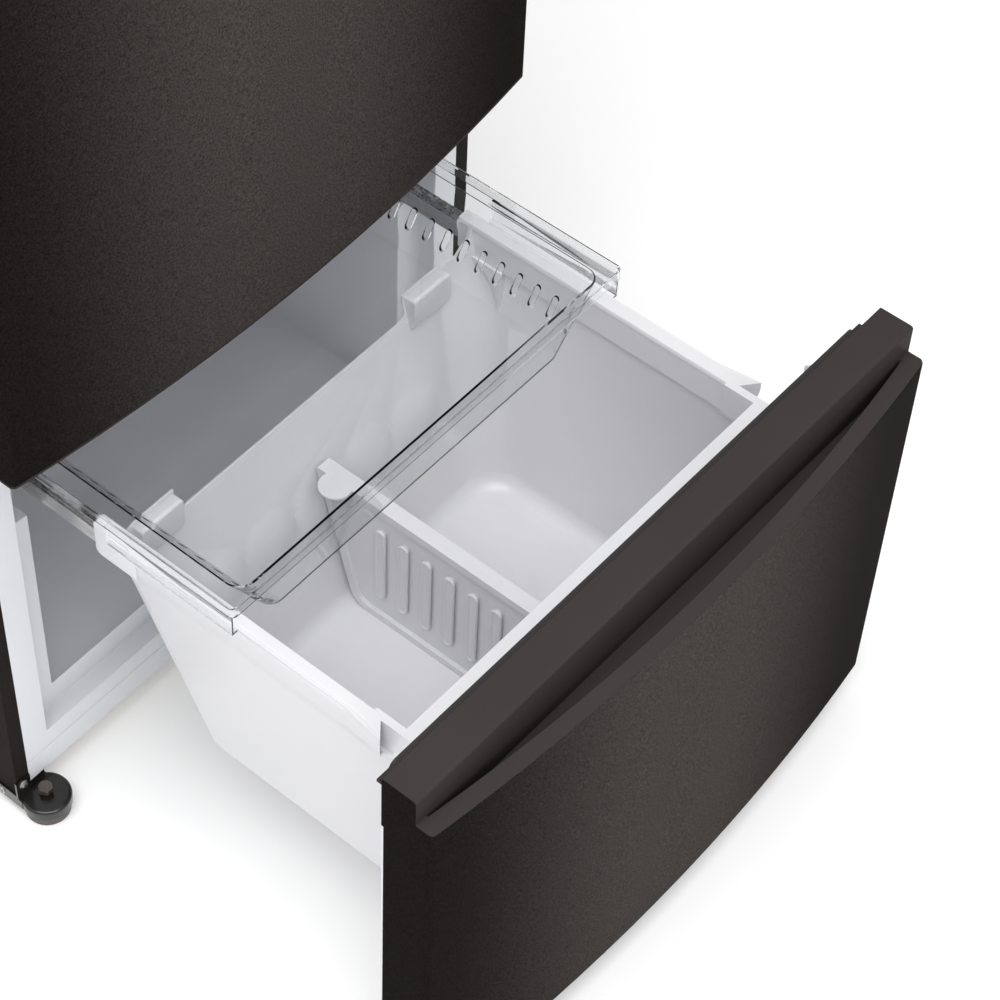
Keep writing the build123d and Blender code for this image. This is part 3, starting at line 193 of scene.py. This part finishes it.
def grained_enamel(name, dark, light, rough, spec, painted_shade_at_sides=None):
    """Stippled dark enamel with raised beads. Given a side share, the colour carries a painted highlight down
    the middle and falls to that share at the sides as painted shade.
    """
    m, t, p = new_material(name)
    co = obj_coords(t)
    grain = noise(t, co, 420.0, 4.0, 0.75)
    fine = noise(t, co, 1100.0, 3.0, 0.6)
    soft = noise(t, co, 3.0, 2.0, 0.5)
    height = math_node(t, "ADD", math_node(t, "MULTIPLY", grain, 0.7), math_node(t, "MULTIPLY", fine, 0.3))
    colour = mix_colour(t, map_range(t, height, 0.40, 0.62, 0.0, 1.0), dark, light)
    # painted highlight down the middle of the sheet and painted shade towards both sides, by x
    if painted_shade_at_sides:
        sep = t.nodes.new("ShaderNodeSeparateXYZ")
        link(t, co, sep.inputs[0])
        across = math_node(t, "ADD", sep.outputs["X"], math_node(t, "MULTIPLY", soft, 0.02))
        painted_sheen = map_range(t, math_node(t, "ABSOLUTE", across), 0.05, 0.40, 1.0, painted_shade_at_sides, eased=True)
        colour = mix_colour(t, painted_sheen, (0.0, 0.0, 0.0), colour)
    link(t, colour, p.inputs["Base Color"])
    link(t, map_range(t, grain, 0.3, 0.7, rough - 0.07, rough + 0.07), p.inputs["Roughness"])
    link(t, bump(t, height, 0.45, 0.0009), p.inputs["Normal"])
    p.inputs["Specular IOR Level"].default_value = spec
    return m


def metal(name, base, rough, streak_axis=1):
    """Bare or plated metal, streaked along one axis."""
    m, t, p = new_material(name)
    co = obj_coords(t)
    mp = t.nodes.new("ShaderNodeMapping")
    mp.inputs["Scale"].default_value = [4.0 if i == streak_axis else 260.0 for i in range(3)]
    link(t, co, mp.inputs["Vector"])
    streak = noise(t, mp.outputs["Vector"], 3.0, 5.0, 0.6)
    streaked = mix_colour(t, map_range(t, streak, 0.35, 0.7, 0.0, 1.0), base, tuple(c * 0.72 for c in base))
    link(t, streaked, p.inputs["Base Color"])
    link(t, map_range(t, streak, 0.3, 0.7, rough - 0.08, rough + 0.1), p.inputs["Roughness"])
    link(t, bump(t, streak, 0.12, 0.0004), p.inputs["Normal"])
    p.inputs["Metallic"].default_value = 1.0
    return m


def clear(name, tint, clouded, rough, ior):
    """Clear plastic or glass: polished, faintly smudged, its tint drifting between two near colours."""
    m, t, p = new_material(name)
    co = obj_coords(t)
    cloud = noise(t, co, 9.0, 5.0, 0.55)
    wipe = noise(t, co, 60.0, 3.0, 0.6)
    smudge = math_node(t, "MULTIPLY", cloud, wipe)
    link(t, map_range(t, smudge, 0.15, 0.42, rough * 0.4, rough * 3.0), p.inputs["Roughness"])
    link(t, bump(t, noise(t, co, 22.0, 2.0, 0.5), 0.03, 0.0008), p.inputs["Normal"])
    link(t, mix_colour(t, map_range(t, cloud, 0.35, 0.7, 0.0, 1.0), tint, clouded), p.inputs["Base Color"])
    p.inputs["Transmission Weight"].default_value = 1.0
    # light that falls through the plastic isn't stopped by it
    path = t.nodes.new("ShaderNodeLightPath")
    through = math_node(t, "MAXIMUM", path.outputs["Is Shadow Ray"], path.outputs["Is Diffuse Ray"])
    link(t, math_node(t, "SUBTRACT", 1.0, math_node(t, "MULTIPLY", through, 0.93)), p.inputs["Alpha"])
    p.inputs["IOR"].default_value = ior
    return m


def rail_metal(name, smooth, dark, fold):
    """Drawn steel: a smooth lower face, a painted highlight line along the fold, and a dark pitted ball strip
    above it, darker in patches.
    """
    m, t, p = new_material(name)
    co = obj_coords(t)
    sep = t.nodes.new("ShaderNodeSeparateXYZ")
    link(t, co, sep.inputs[0])
    above = map_range(t, sep.outputs["Z"], fold - 0.0004, fold + 0.0004, 0.0, 1.0)
    # painted highlight: a thin band at the fold height
    painted_fold_highlight = math_node(t, "COMPARE", sep.outputs["Z"], fold)
    painted_fold_highlight.node.inputs[2].default_value = 0.0006
    v = t.nodes.new("ShaderNodeTexVoronoi")
    v.inputs["Scale"].default_value = 260.0
    link(t, co, v.inputs["Vector"])
    pits = map_range(t, v.outputs["Distance"], 0.18, 0.5, 0.0, 1.0)
    # patches where the dark strip is darker still
    dark_patches = noise(t, co, 120.0, 4.0, 0.7)
    mp = t.nodes.new("ShaderNodeMapping")
    mp.inputs["Scale"].default_value = (260.0, 5.0, 260.0)
    link(t, co, mp.inputs["Vector"])
    streak = noise(t, mp.outputs["Vector"], 3.0, 5.0, 0.6)
    low = mix_colour(t, map_range(t, streak, 0.35, 0.7, 0.0, 1.0), smooth, tuple(c * 0.7 for c in smooth))
    strip_mix = math_node(t, "MULTIPLY", pits, map_range(t, dark_patches, 0.3, 0.7, 0.2, 1.0))
    strip = mix_colour(t, strip_mix, dark, smooth)
    colour = mix_colour(t, above, low, strip)
    # the fold band is painted near white as a highlight
    link(t, mix_colour(t, painted_fold_highlight, colour, (0.9, 0.9, 0.9)), p.inputs["Base Color"])
    link(t, map_range(t, streak, 0.3, 0.7, 0.18, 0.34), p.inputs["Roughness"])
    link(t, bump(t, math_node(t, "MULTIPLY", pits, above), 0.5, 0.0008), p.inputs["Normal"])
    p.inputs["Metallic"].default_value = 1.0
    return m


M = {
    # the front sheet carries a painted highlight down its middle and painted shade at its sides
    "front_sheet": grained_enamel("grained_dark_enamel", (0.026, 0.0224, 0.0208), (0.084, 0.0735, 0.0685),
                                  0.50, 0.002, painted_shade_at_sides=0.20),
    "side_sheet": grained_enamel("grained_side_enamel", (0.0120, 0.0100, 0.0094), (0.026, 0.0222, 0.0208),
                                 0.52, 0.012),
    "cap_plastic": plastic("dark_cap_plastic", (0.0405, 0.0352, 0.0337), (0.0435, 0.0380, 0.0364), 0.42,
                           grain=1500.0, grain_strength=0.05, spec=0.008),
    "white_plastic": plastic("white_moulded_plastic", (0.74, 0.74, 0.765), (0.77, 0.77, 0.79), 0.38,
                             grain=700.0, grain_strength=0.06),
    "tub_plastic": plastic("white_tub_plastic", (0.685, 0.685, 0.708), (0.715, 0.715, 0.735), 0.34,
                           grain=1200.0, grain_strength=0.04),
    "grey_liner": plastic("cool_grey_liner", (0.72, 0.735, 0.765), (0.75, 0.765, 0.79), 0.40,
                          grain=800.0, grain_strength=0.07),
    "galvanised_steel": metal("zinc_sheet", (0.62, 0.63, 0.64), 0.36),
    # the rail's fold at z 0.527 gets a painted highlight line
    "rail_steel": rail_metal("rail_steel", (0.70, 0.69, 0.68), (0.05, 0.045, 0.04), fold=0.527),
    "foam": plastic("rigid_foam", (0.80, 0.76, 0.66), (0.84, 0.81, 0.72), 0.85,
                    grain=300.0, grain_strength=0.4),
    "bar_steel": plastic("painted_bar", (0.66, 0.66, 0.68), (0.70, 0.70, 0.72), 0.35),
    "black_steel": plastic("gloss_black_enamel", (0.008, 0.0072, 0.0068), (0.012, 0.011, 0.010), 0.22,
                           grain=500.0, grain_strength=0.05, spec=0.4, coat=0.35),
    "black_plastic": plastic("black_plastic", (0.022, 0.021, 0.021), (0.030, 0.029, 0.028), 0.45),
    "black_rubber": plastic("black_gasket_rubber", (0.018, 0.017, 0.016), (0.026, 0.024, 0.023), 0.62),
    "leg_steel": metal("plated_leg_steel", (0.16, 0.14, 0.13), 0.42, streak_axis=0),
    "screw_steel": metal("zinc_screw", (0.55, 0.54, 0.52), 0.3, streak_axis=0),
    "fin_aluminium": metal("bare_aluminium", (0.80, 0.80, 0.82), 0.3, streak_axis=2),
    "clear_plastic": clear("clear_moulded_plastic", (0.95, 0.955, 0.965), (0.92, 0.925, 0.94), 0.015, 1.49),
    "shelf_glass": clear("toughened_glass", (0.88, 0.96, 0.94), (0.88, 0.96, 0.94), 0.01, 1.52),
}


# ------------------------------------------------------------------ pieces from the frame
LEDGE_BEHIND = -0.85    # a side bracket's tray ledge lies behind this y, its plate in front
LEDGE_END = -0.662      # where the clear ledge ends, under the tray's front corner
WELD = 0.00002
SHARP = math.radians(32.0)


def soft_copy(node, body, material, width):
    """A cleaned copy of a CAD piece that takes its place, its edges rounded to width."""
    me = nodes[node].data.copy()
    me.name = node + "_soft"
    bm = bmesh.new()
    bm.from_mesh(me)
    bmesh.ops.remove_doubles(bm, verts=bm.verts, dist=WELD)
    bmesh.ops.dissolve_limit(bm, angle_limit=math.radians(0.6), verts=bm.verts, edges=bm.edges)
    if node.startswith("side_bracket"):
        bmesh.ops.delete(bm, geom=[v for v in bm.verts if v.co.y >= LEDGE_BEHIND], context="VERTS")
    bm.normal_update()
    for f in bm.faces:
        f.smooth = True
    bm.to_mesh(me)
    bm.free()
    me.set_sharp_from_angle(angle=SHARP)
    ob = bpy.data.objects.new(node + "_soft", me)
    bpy.context.scene.collection.objects.link(ob)
    bev = ob.modifiers.new("edge", "BEVEL")
    bev.width = width
    bev.segments = 2
    bev.limit_method = "ANGLE"
    bev.angle_limit = SHARP
    bev.harden_normals = True
    bev.use_clamp_overlap = True
    me.materials.clear()
    me.materials.append(material)
    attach(ob, body)
    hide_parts(node)


record = frame["record"]
slot_of = {s["node"]: s["material_slot"] for s in record["subparts"]}
own = {"freezer_tub": "tub_plastic", "tub_divider": "tub_plastic", "case_wrapper": "side_sheet",
       "rail_middle_left": "rail_steel", "rail_middle_right": "rail_steel", "rail_tracks": "rail_steel",
       "drawer_rails": "rail_steel"}
look_of = {name: M[own.get(name, slot_of[name])] for name in nodes}
body_of = {node: body for body, held in record["behaviour"]["bodies"].items() for node in held}
for name, ob in nodes.items():
    ob.data.materials.clear()
    ob.data.materials.append(look_of[name])

# width of the rounded edges, in metres
rounded = {"freezer_tub": 0.0016, "tub_divider": 0.0014, "clear_tray": 0.0008, "drawer_cap": 0.0012,
           "drawer_panel": 0.0010, "drawer_liner": 0.0016, "upper_door": 0.0010, "case_wrapper": 0.0006,
           "freezer_liner": 0.0016, "leg_brackets": 0.0012, "side_bracket_left": 0.0006,
           "side_bracket_right": 0.0006}
for node, width in rounded.items():
    soft_copy(node, body_of[node], look_of[node], width)


# ------------------------------------------------------------------ small pieces
def piece(name, bm, material, body, angle=35.0):
    """Makes a new piece of a mesh, smooth up to an angle in degrees, and rides it on its body."""
    me = bpy.data.meshes.new(name)
    bmesh.ops.recalc_face_normals(bm, faces=bm.faces)
    bm.to_mesh(me)
    bm.free()
    for poly in me.polygons:
        poly.use_smooth = True
    me.set_sharp_from_angle(angle=math.radians(angle))
    me.materials.append(material)
    ob = bpy.data.objects.new(name, me)
    bpy.context.scene.collection.objects.link(ob)
    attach(ob, body)


def lathe(bm, centre, axis, profile, count):
    """Turns (radius, height) pairs round an axis through centre."""
    turn = Vector((0, 0, 1)).rotation_difference(Vector(axis)).to_matrix()
    rings = []
    for radius, height in profile:
        ring = []
        for i in range(count):
            a = 2 * math.pi * i / count
            spot = Vector((radius * math.cos(a), radius * math.sin(a), height))
            ring.append(bm.verts.new(centre + turn @ spot))
        rings.append(ring)
    for low, high in zip(rings, rings[1:]):
        for i in range(count):
            j = (i + 1) % count
            bm.faces.new((low[i], low[j], high[j], high[i]))
    bm.faces.new(list(reversed(rings[0])))
    bm.faces.new(rings[-1])


def thread(bm, centre, radius, depth, pitch, z0, z1, steps=24):
    """A helical ridge with a V section round an upright stud."""
    count = int((z1 - z0) / pitch * steps)
    before = None
    for k in range(count + 1):
        a = 2 * math.pi * k / steps
        z = z0 + pitch * k / steps
        out = Vector((math.cos(a), math.sin(a), 0))
        now = [bm.verts.new(centre + out * r + Vector((0, 0, z + dz)))
               for r, dz in ((radius, -pitch * 0.42), (radius + depth, 0.0), (radius, pitch * 0.42))]
        if before:
            for i in range(2):
                bm.faces.new((before[i], before[i + 1], now[i + 1], now[i]))
        before = now


def hex_screw(bm, centre, axis, washer=0.0062, head=0.0042, tall=0.0034):
    """Hexagon head on a washer face, both given by their radii."""
    lathe(bm, centre, axis, [(washer, 0.0), (washer, 0.0006), (washer * 0.82, 0.0013)], 28)
    lathe(bm, centre, axis, [(head, 0.0008), (head, tall - 0.0006), (head * 0.86, tall)], 6)


def cross_screw(bm, centre, axis, radius=0.0042, tall=0.0016):
    """Low domed head with a cross recess."""
    turn = Vector((0, 0, 1)).rotation_difference(Vector(axis)).to_matrix()
    dome = [(radius, 0.0), (radius * 0.96, tall * 0.45), (radius * 0.72, tall * 0.85), (radius * 0.40, tall)]
    lathe(bm, centre, axis, dome, 24)
    for a in (0.0, math.pi / 2):
        along = Vector((math.cos(a), math.sin(a), 0)) * radius * 0.52
        across = Vector((-math.sin(a), math.cos(a), 0)) * radius * 0.10
        top = Vector((0, 0, tall * 1.04))
        corners = [top + along + across, top - along + across, top - along - across, top + along - across]
        bm.faces.new([bm.verts.new(centre + turn @ c) for c in corners])


# the tub's rolled rim: it covers the rail channel, bulges out near the front and is cut off slantwise there.
# Along the tub, y is given for the shut drawer.
TUB_SHIFT = -0.5745
TUB_TOP_Z = 0.545
TUB_FLOOR_Z = 0.171
TUB_FLOOR_X = 0.272
TUB_TOP_X = 0.316
RIM_REAR = 0.1297
RIM_REAR_X = 0.3166
BULGE_Y = -0.25
BULGE_LEN = 0.0456
BULGE_X = 0.3192
BULGE_OUT = 0.0068
RIM_R = 0.0065
RIM_LIFT = 0.0003
RIM_SLANT = 0.0213
SKIN = 0.0002


def tub_wall_x(z):
    """Half width of the tapered tub at height z."""
    return TUB_FLOOR_X + (TUB_TOP_X - TUB_FLOOR_X) * (z - TUB_FLOOR_Z) / (TUB_TOP_Z - TUB_FLOOR_Z)


def rim_out(y):
    if y > BULGE_Y:
        return RIM_REAR_X + (BULGE_X - RIM_REAR_X) * (0.13 - y) / (0.13 - BULGE_Y)
    return BULGE_X + BULGE_OUT * ((BULGE_Y - y) / BULGE_LEN) ** 1.6


def rim_profile(y):
    """Points (x, z) from the wall below the channel, over the rolled edge, to the tub's inner lip."""
    out = rim_out(y)
    swell = out - RIM_REAR_X
    top = TUB_TOP_Z + RIM_LIFT
    points = [(tub_wall_x(0.480) + SKIN, 0.480), (tub_wall_x(0.490) + 3 * SKIN, 0.490),
              (0.3129 + swell * 0.5, 0.500), (0.3138 + swell * 0.8, 0.512), (out - 0.0008, 0.528)]
    for k in range(7):
        a = math.pi / 2 * k / 6
        points.append((out - RIM_R + RIM_R * math.cos(a), top - RIM_R + RIM_R * math.sin(a)))
    return points + [(0.3005, top), (0.2996, TUB_TOP_Z - 0.0008), (0.2994, TUB_TOP_Z - 0.006)]


def tub_rim(side):
    bm = bmesh.new()
    tucked = ((RIM_REAR, 0.0035), (0.1285, 0.0012), (0.124, 0.0))
    straight = [(0.11 - 0.02 * k, 0.0) for k in range(18)]
    bulged = [(BULGE_Y - BULGE_LEN * k / 10, 0.0) for k in range(11)]
    rows = []
    for y, tuck in [*tucked, *straight, *bulged]:
        row = []
        for x, z in rim_profile(y):
            slant = 0.0
            if y < BULGE_Y:
                slant = (0.3261 - x) / 0.0266 * RIM_SLANT * (BULGE_Y - y) / BULGE_LEN
            drop = tuck if z > 0.53 else 0.0
            row.append(bm.verts.new((side * (x - tuck * 0.6), y + slant + TUB_SHIFT, z - drop)))
        rows.append(row)
    for a, b in zip(rows, rows[1:]):
        for i in range(len(a) - 1):
            bm.faces.new((a[i], a[i + 1], b[i + 1], b[i]))
    for row in (rows[0], rows[-1]):
        bm.faces.new(row)
    return bm


GUSSET_REAR = 0.120
GUSSET_FRONT = 0.060
GUSSET_TOP = 0.4965
GUSSET_FOOT = 0.434
ARC_TOP = 0.4945
ARC_R = 0.058
GUSSET_STEPS = 14


def rim_gusset(side):
    """The curved web under the rim's rear end, flush with the side wall."""
    bm = bmesh.new()
    outline = [(GUSSET_FRONT, GUSSET_TOP), (GUSSET_REAR, GUSSET_TOP)]
    for k in range(GUSSET_STEPS + 1):
        a = math.pi / 2 * k / GUSSET_STEPS
        outline.append((GUSSET_REAR - ARC_R * math.sin(a), ARC_TOP - ARC_R * (1 - math.cos(a))))
    outline.append((GUSSET_FRONT, GUSSET_FOOT))
    inner = []
    outer = []
    for y, z in outline:
        inner.append(bm.verts.new((side * 0.297, y + TUB_SHIFT, z)))
        outer.append(bm.verts.new((side * (tub_wall_x(z) + SKIN), y + TUB_SHIFT, z)))
    bm.faces.new(inner)
    bm.faces.new(outer)
    for i in range(len(outline)):
        j = (i + 1) % len(outline)
        bm.faces.new((inner[i], inner[j], outer[j], outer[i]))
    return bm


SIDES = ((-1, "left"), (1, "right"))
for side, label in SIDES:
    for name, made in (("tub_rim_", tub_rim(side)), ("rim_gusset_", rim_gusset(side))):
        piece(name + label, made, M["tub_plastic"], "freezer_drawer", angle=50)

# the tray's ledges are clear strips, seen only under the tray itself
for _, label in SIDES:
    bm = bmesh.new()
    bm.from_mesh(nodes["side_bracket_" + label].data)
    bmesh.ops.delete(bm, geom=[v for v in bm.verts if v.co.y < LEDGE_BEHIND], context="VERTS")
    bmesh.ops.remove_doubles(bm, verts=bm.verts, dist=WELD)
    cut = bmesh.ops.bisect_plane(bm, geom=bm.verts[:] + bm.edges[:] + bm.faces[:], plane_co=(0, LEDGE_END, 0),
                                 plane_no=(0, -1, 0), clear_outer=True)
    bmesh.ops.holes_fill(bm, edges=[e for e in cut["geom_cut"] if isinstance(e, bmesh.types.BMEdge)])
    piece("tray_ledge_" + label, bm, M["clear_plastic"], "freezer_drawer")


def bead_loop(bm, points, radius, count=8):
    """A round bead along a closed loop of points that lies in a plane of constant x."""
    middle = sum(points, Vector()) / len(points)
    rings = []
    for n, point in enumerate(points):
        along = points[(n + 1) % len(points)] - points[n - 1]
        out = Vector((0, along.z, -along.y)).normalized()
        if out.dot(point - middle) < 0:
            out = -out
        ring = []
        for k in range(count):
            a = 2 * math.pi * k / count
            ring.append(bm.verts.new(point + radius * (math.cos(a) * out + math.sin(a) * Vector((1, 0, 0)))))
        rings.append(ring)
    for n, ring in enumerate(rings):
        after = rings[(n + 1) % len(rings)]
        for k in range(count):
            m = (k + 1) % count
            bm.faces.new((ring[k], ring[m], after[m], after[k]))


# rolled bead round every rib of the divider
RIBS = 6
RIB_FIRST_Y = -0.5836
RIB_PITCH = 0.0355
RIB_HALF = 0.0058
RIB_ENDS = ((0.3365, 0.0), (0.2235, math.pi))
BEAD_X = 0.0025
BEAD_R = 0.0024
bm = bmesh.new()
for n in range(RIBS):
    y = RIB_FIRST_Y - RIB_PITCH * n
    loop = []
    for z, start in RIB_ENDS:
        for k in range(13):
            a = start + math.pi * k / 12
            loop.append(Vector((BEAD_X, y + RIB_HALF * math.cos(a), z + RIB_HALF * math.sin(a))))
    bead_loop(bm, loop, BEAD_R)
piece("divider_rib_beads", bm, M["tub_plastic"], "divider", angle=60)

# the legs' threads, and the screws of feet, back and middle hinge
LEG_X = 0.3885
LEG_Y = -0.3814
for side, label in SIDES:
    bm = bmesh.new()
    thread(bm, Vector((LEG_X * side, LEG_Y, 0)), radius=0.0050, depth=0.0005, pitch=0.00125,
           z0=0.0308, z1=0.0356)
    piece("leg_thread_" + label, bm, M["screw_steel"], "leg_" + label, angle=60)
    bm = bmesh.new()
    hex_screw(bm, Vector((side * 0.4076, -0.364, 0.052)), (0, -1, 0))
    hex_screw(bm, Vector((side * 0.419, -0.333, 0.023)), (side, 0, 0))
    piece("foot_screws_" + label, bm, M["screw_steel"], "cabinet")

BACK_Y = 0.361
bm = bmesh.new()
for z in (0.36, 0.70, 1.04, 1.38, 1.72):
    for x in (-0.395, -0.13, 0.13, 0.395):
        cross_screw(bm, Vector((x, BACK_Y, z)), (0, 1, 0))
for x in (-0.40, -0.2, 0.0, 0.2, 0.40):
    for z in (0.305, 0.060):
        cross_screw(bm, Vector((x, BACK_Y, z)), (0, 1, 0))
piece("back_screws", bm, M["screw_steel"], "cabinet")

HINGE_FACE_Y = -0.364
bm = bmesh.new()
for x in (0.335, 0.372):
    for z in (0.688, 0.655):
        hex_screw(bm, Vector((x, HINGE_FACE_Y, z)), (0, -1, 0), washer=0.0055, head=0.0038)
piece("middle_hinge_screws", bm, M["screw_steel"], "cabinet")


# ------------------------------------------------------------------ studio
FLOOR_HALF = 20.0
FLOOR_Z = -0.0005
floor_mat, _, floor_paint = new_material("pale_floor")
floor_paint.inputs["Base Color"].default_value = (0.92, 0.92, 0.92, 1)
floor_paint.inputs["Emission Color"].default_value = (1, 1, 1, 1)
floor_paint.inputs["Emission Strength"].default_value = 0.12
floor_paint.inputs["Roughness"].default_value = 0.9
floor_mesh = bpy.data.meshes.new("studio_floor")
floor_corners = [(x * FLOOR_HALF, y * FLOOR_HALF, FLOOR_Z) for x, y in ((-1, -1), (1, -1), (1, 1), (-1, 1))]
floor_mesh.from_pydata(floor_corners, [], [(0, 1, 2, 3)])
floor_mesh.materials.append(floor_mat)
studio_floor = bpy.data.objects.new("studio_floor", floor_mesh)
bpy.context.scene.collection.objects.link(studio_floor)


def area_light(name, location, target, size, energy):
    d = bpy.data.lights.new(name, "AREA")
    d.shape = "RECTANGLE"
    d.size, d.size_y = size
    d.energy = energy
    o = bpy.data.objects.new(name, d)
    bpy.context.scene.collection.objects.link(o)
    o.location = location
    o.rotation_mode = "QUATERNION"
    o.rotation_quaternion = (Vector(target) - Vector(location)).to_track_quat("-Z", "Y")


area_light("key_softbox", (-0.6, -4.4, 3.6), (0, -0.5, 0.7), (2.6, 2.0), 55)
area_light("top_softbox", (-1.3, -1.2, 4.6), (0, -0.8, 0.4), (3.4, 3.4), 160)
area_light("left_softbox", (-3.4, -2.4, 3.2), (0, -0.5, 0.8), (2.0, 2.0), 5)
world = bpy.data.worlds.new("studio")
bpy.context.scene.world = world
world.use_nodes = True
sky = world.node_tree.nodes["Background"]
sky.inputs["Color"].default_value = (1, 1, 1, 1)
sky.inputs["Strength"].default_value = 0.66
bpy.context.scene.view_settings.view_transform = "Standard"
